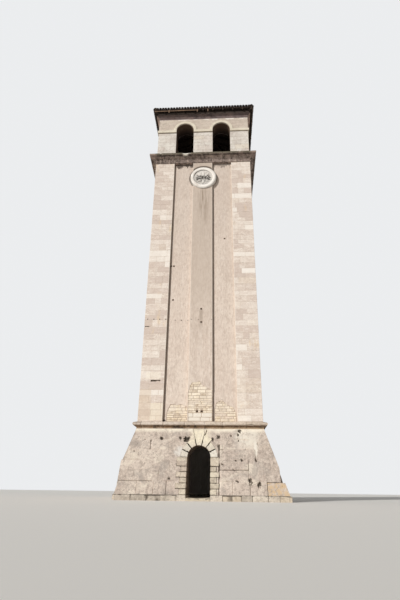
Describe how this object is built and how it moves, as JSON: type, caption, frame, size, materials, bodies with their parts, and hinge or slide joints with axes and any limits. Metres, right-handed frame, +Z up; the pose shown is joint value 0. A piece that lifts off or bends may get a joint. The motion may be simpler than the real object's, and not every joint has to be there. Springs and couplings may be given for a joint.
{
  "type": "bell tower",
  "caption": "Square masonry bell tower on a battered base with an arched doorway, pilastered shaft, moulded cornice, arcaded open belfry and low hipped tile roof.",
  "frame": {"origin": "centre of the plinth's footprint at ground level", "axes": "+Z up; -Y the front with the doorway; +X to the right seen from the front"},
  "size_m": [8.58, 8.58, 27.452],
  "materials": {
    "dark_footing_stone": "worn pale footing stone, mossy joints",
    "base_stone": "weathered pinkish-beige stone, pitted",
    "door_stone": "dressed pale yellow stone, open joints",
    "moulding_stone": "moulded stone, brown-stained underside",
    "ashlar": "cream and pinkish-beige squared blocks in courses",
    "render": "pale lime render with rain streaks, lost in patches",
    "carved_stone": "carved stone, weathered",
    "cornice_stone": "dark stained moulded stone",
    "belfry_stone": "cream stone, sunlit and clean",
    "floor_timber": "old unpainted boards",
    "band_stone": "pale dressed stone",
    "cove_plaster": "stained pinkish plaster",
    "dark_timber": "old dark timber",
    "clay_tile": "weathered fired clay barrel tiles"
  },
  "bodies": {
    "root": {"arch_bands_front_back": "band_stone", "arch_bands_sides": "band_stone", "base_back": "base_stone", "base_front_head": "base_stone", "base_front_left": "base_stone", "base_front_right": "base_stone", "base_left": "base_stone", "base_moulding_front_back": "moulding_stone", "base_moulding_sides": "moulding_stone", "base_right": "base_stone", "belfry_arches_front_back": "belfry_stone", "belfry_arches_sides": "belfry_stone", "belfry_corner_piers": "belfry_stone", "belfry_floor": "floor_timber", "belfry_middle_piers": "belfry_stone", "belfry_sill_front_back": "belfry_stone", "belfry_sill_sides": "belfry_stone", "cornice_front_back": "cornice_stone", "cornice_sides": "cornice_stone", "door_arch": "door_stone", "door_jamb_left": "door_stone", "door_jamb_right": "door_stone", "eaves_cove_front_back": "cove_plaster", "eaves_cove_sides": "cove_plaster", "ground_floor": "dark_footing_stone", "hip_rafters": "dark_timber", "hip_tiles": "clay_tile", "jack_rafters": "dark_timber", "medallion_relief": "carved_stone", "medallion_rim": "carved_stone", "plinth_back": "dark_footing_stone", "plinth_front": "dark_footing_stone", "plinth_sides": "dark_footing_stone", "rebuilt_corner": "base_stone", "roof_boards": "dark_timber", "roof_tiles_back": "clay_tile", "roof_tiles_front": "clay_tile", "roof_tiles_left": "clay_tile", "roof_tiles_right": "clay_tile", "roof_wall_plate": "dark_timber", "shaft_corner_pilasters": "ashlar", "shaft_panels_back": "render", "shaft_panels_front": "render", "shaft_panels_left": "render", "shaft_panels_right": "render", "shaft_strip_back": "render", "shaft_strip_front": "render", "shaft_strip_left": "render", "shaft_strip_right": "render", "threshold": "dark_footing_stone"}
  },
  "joints": []
}
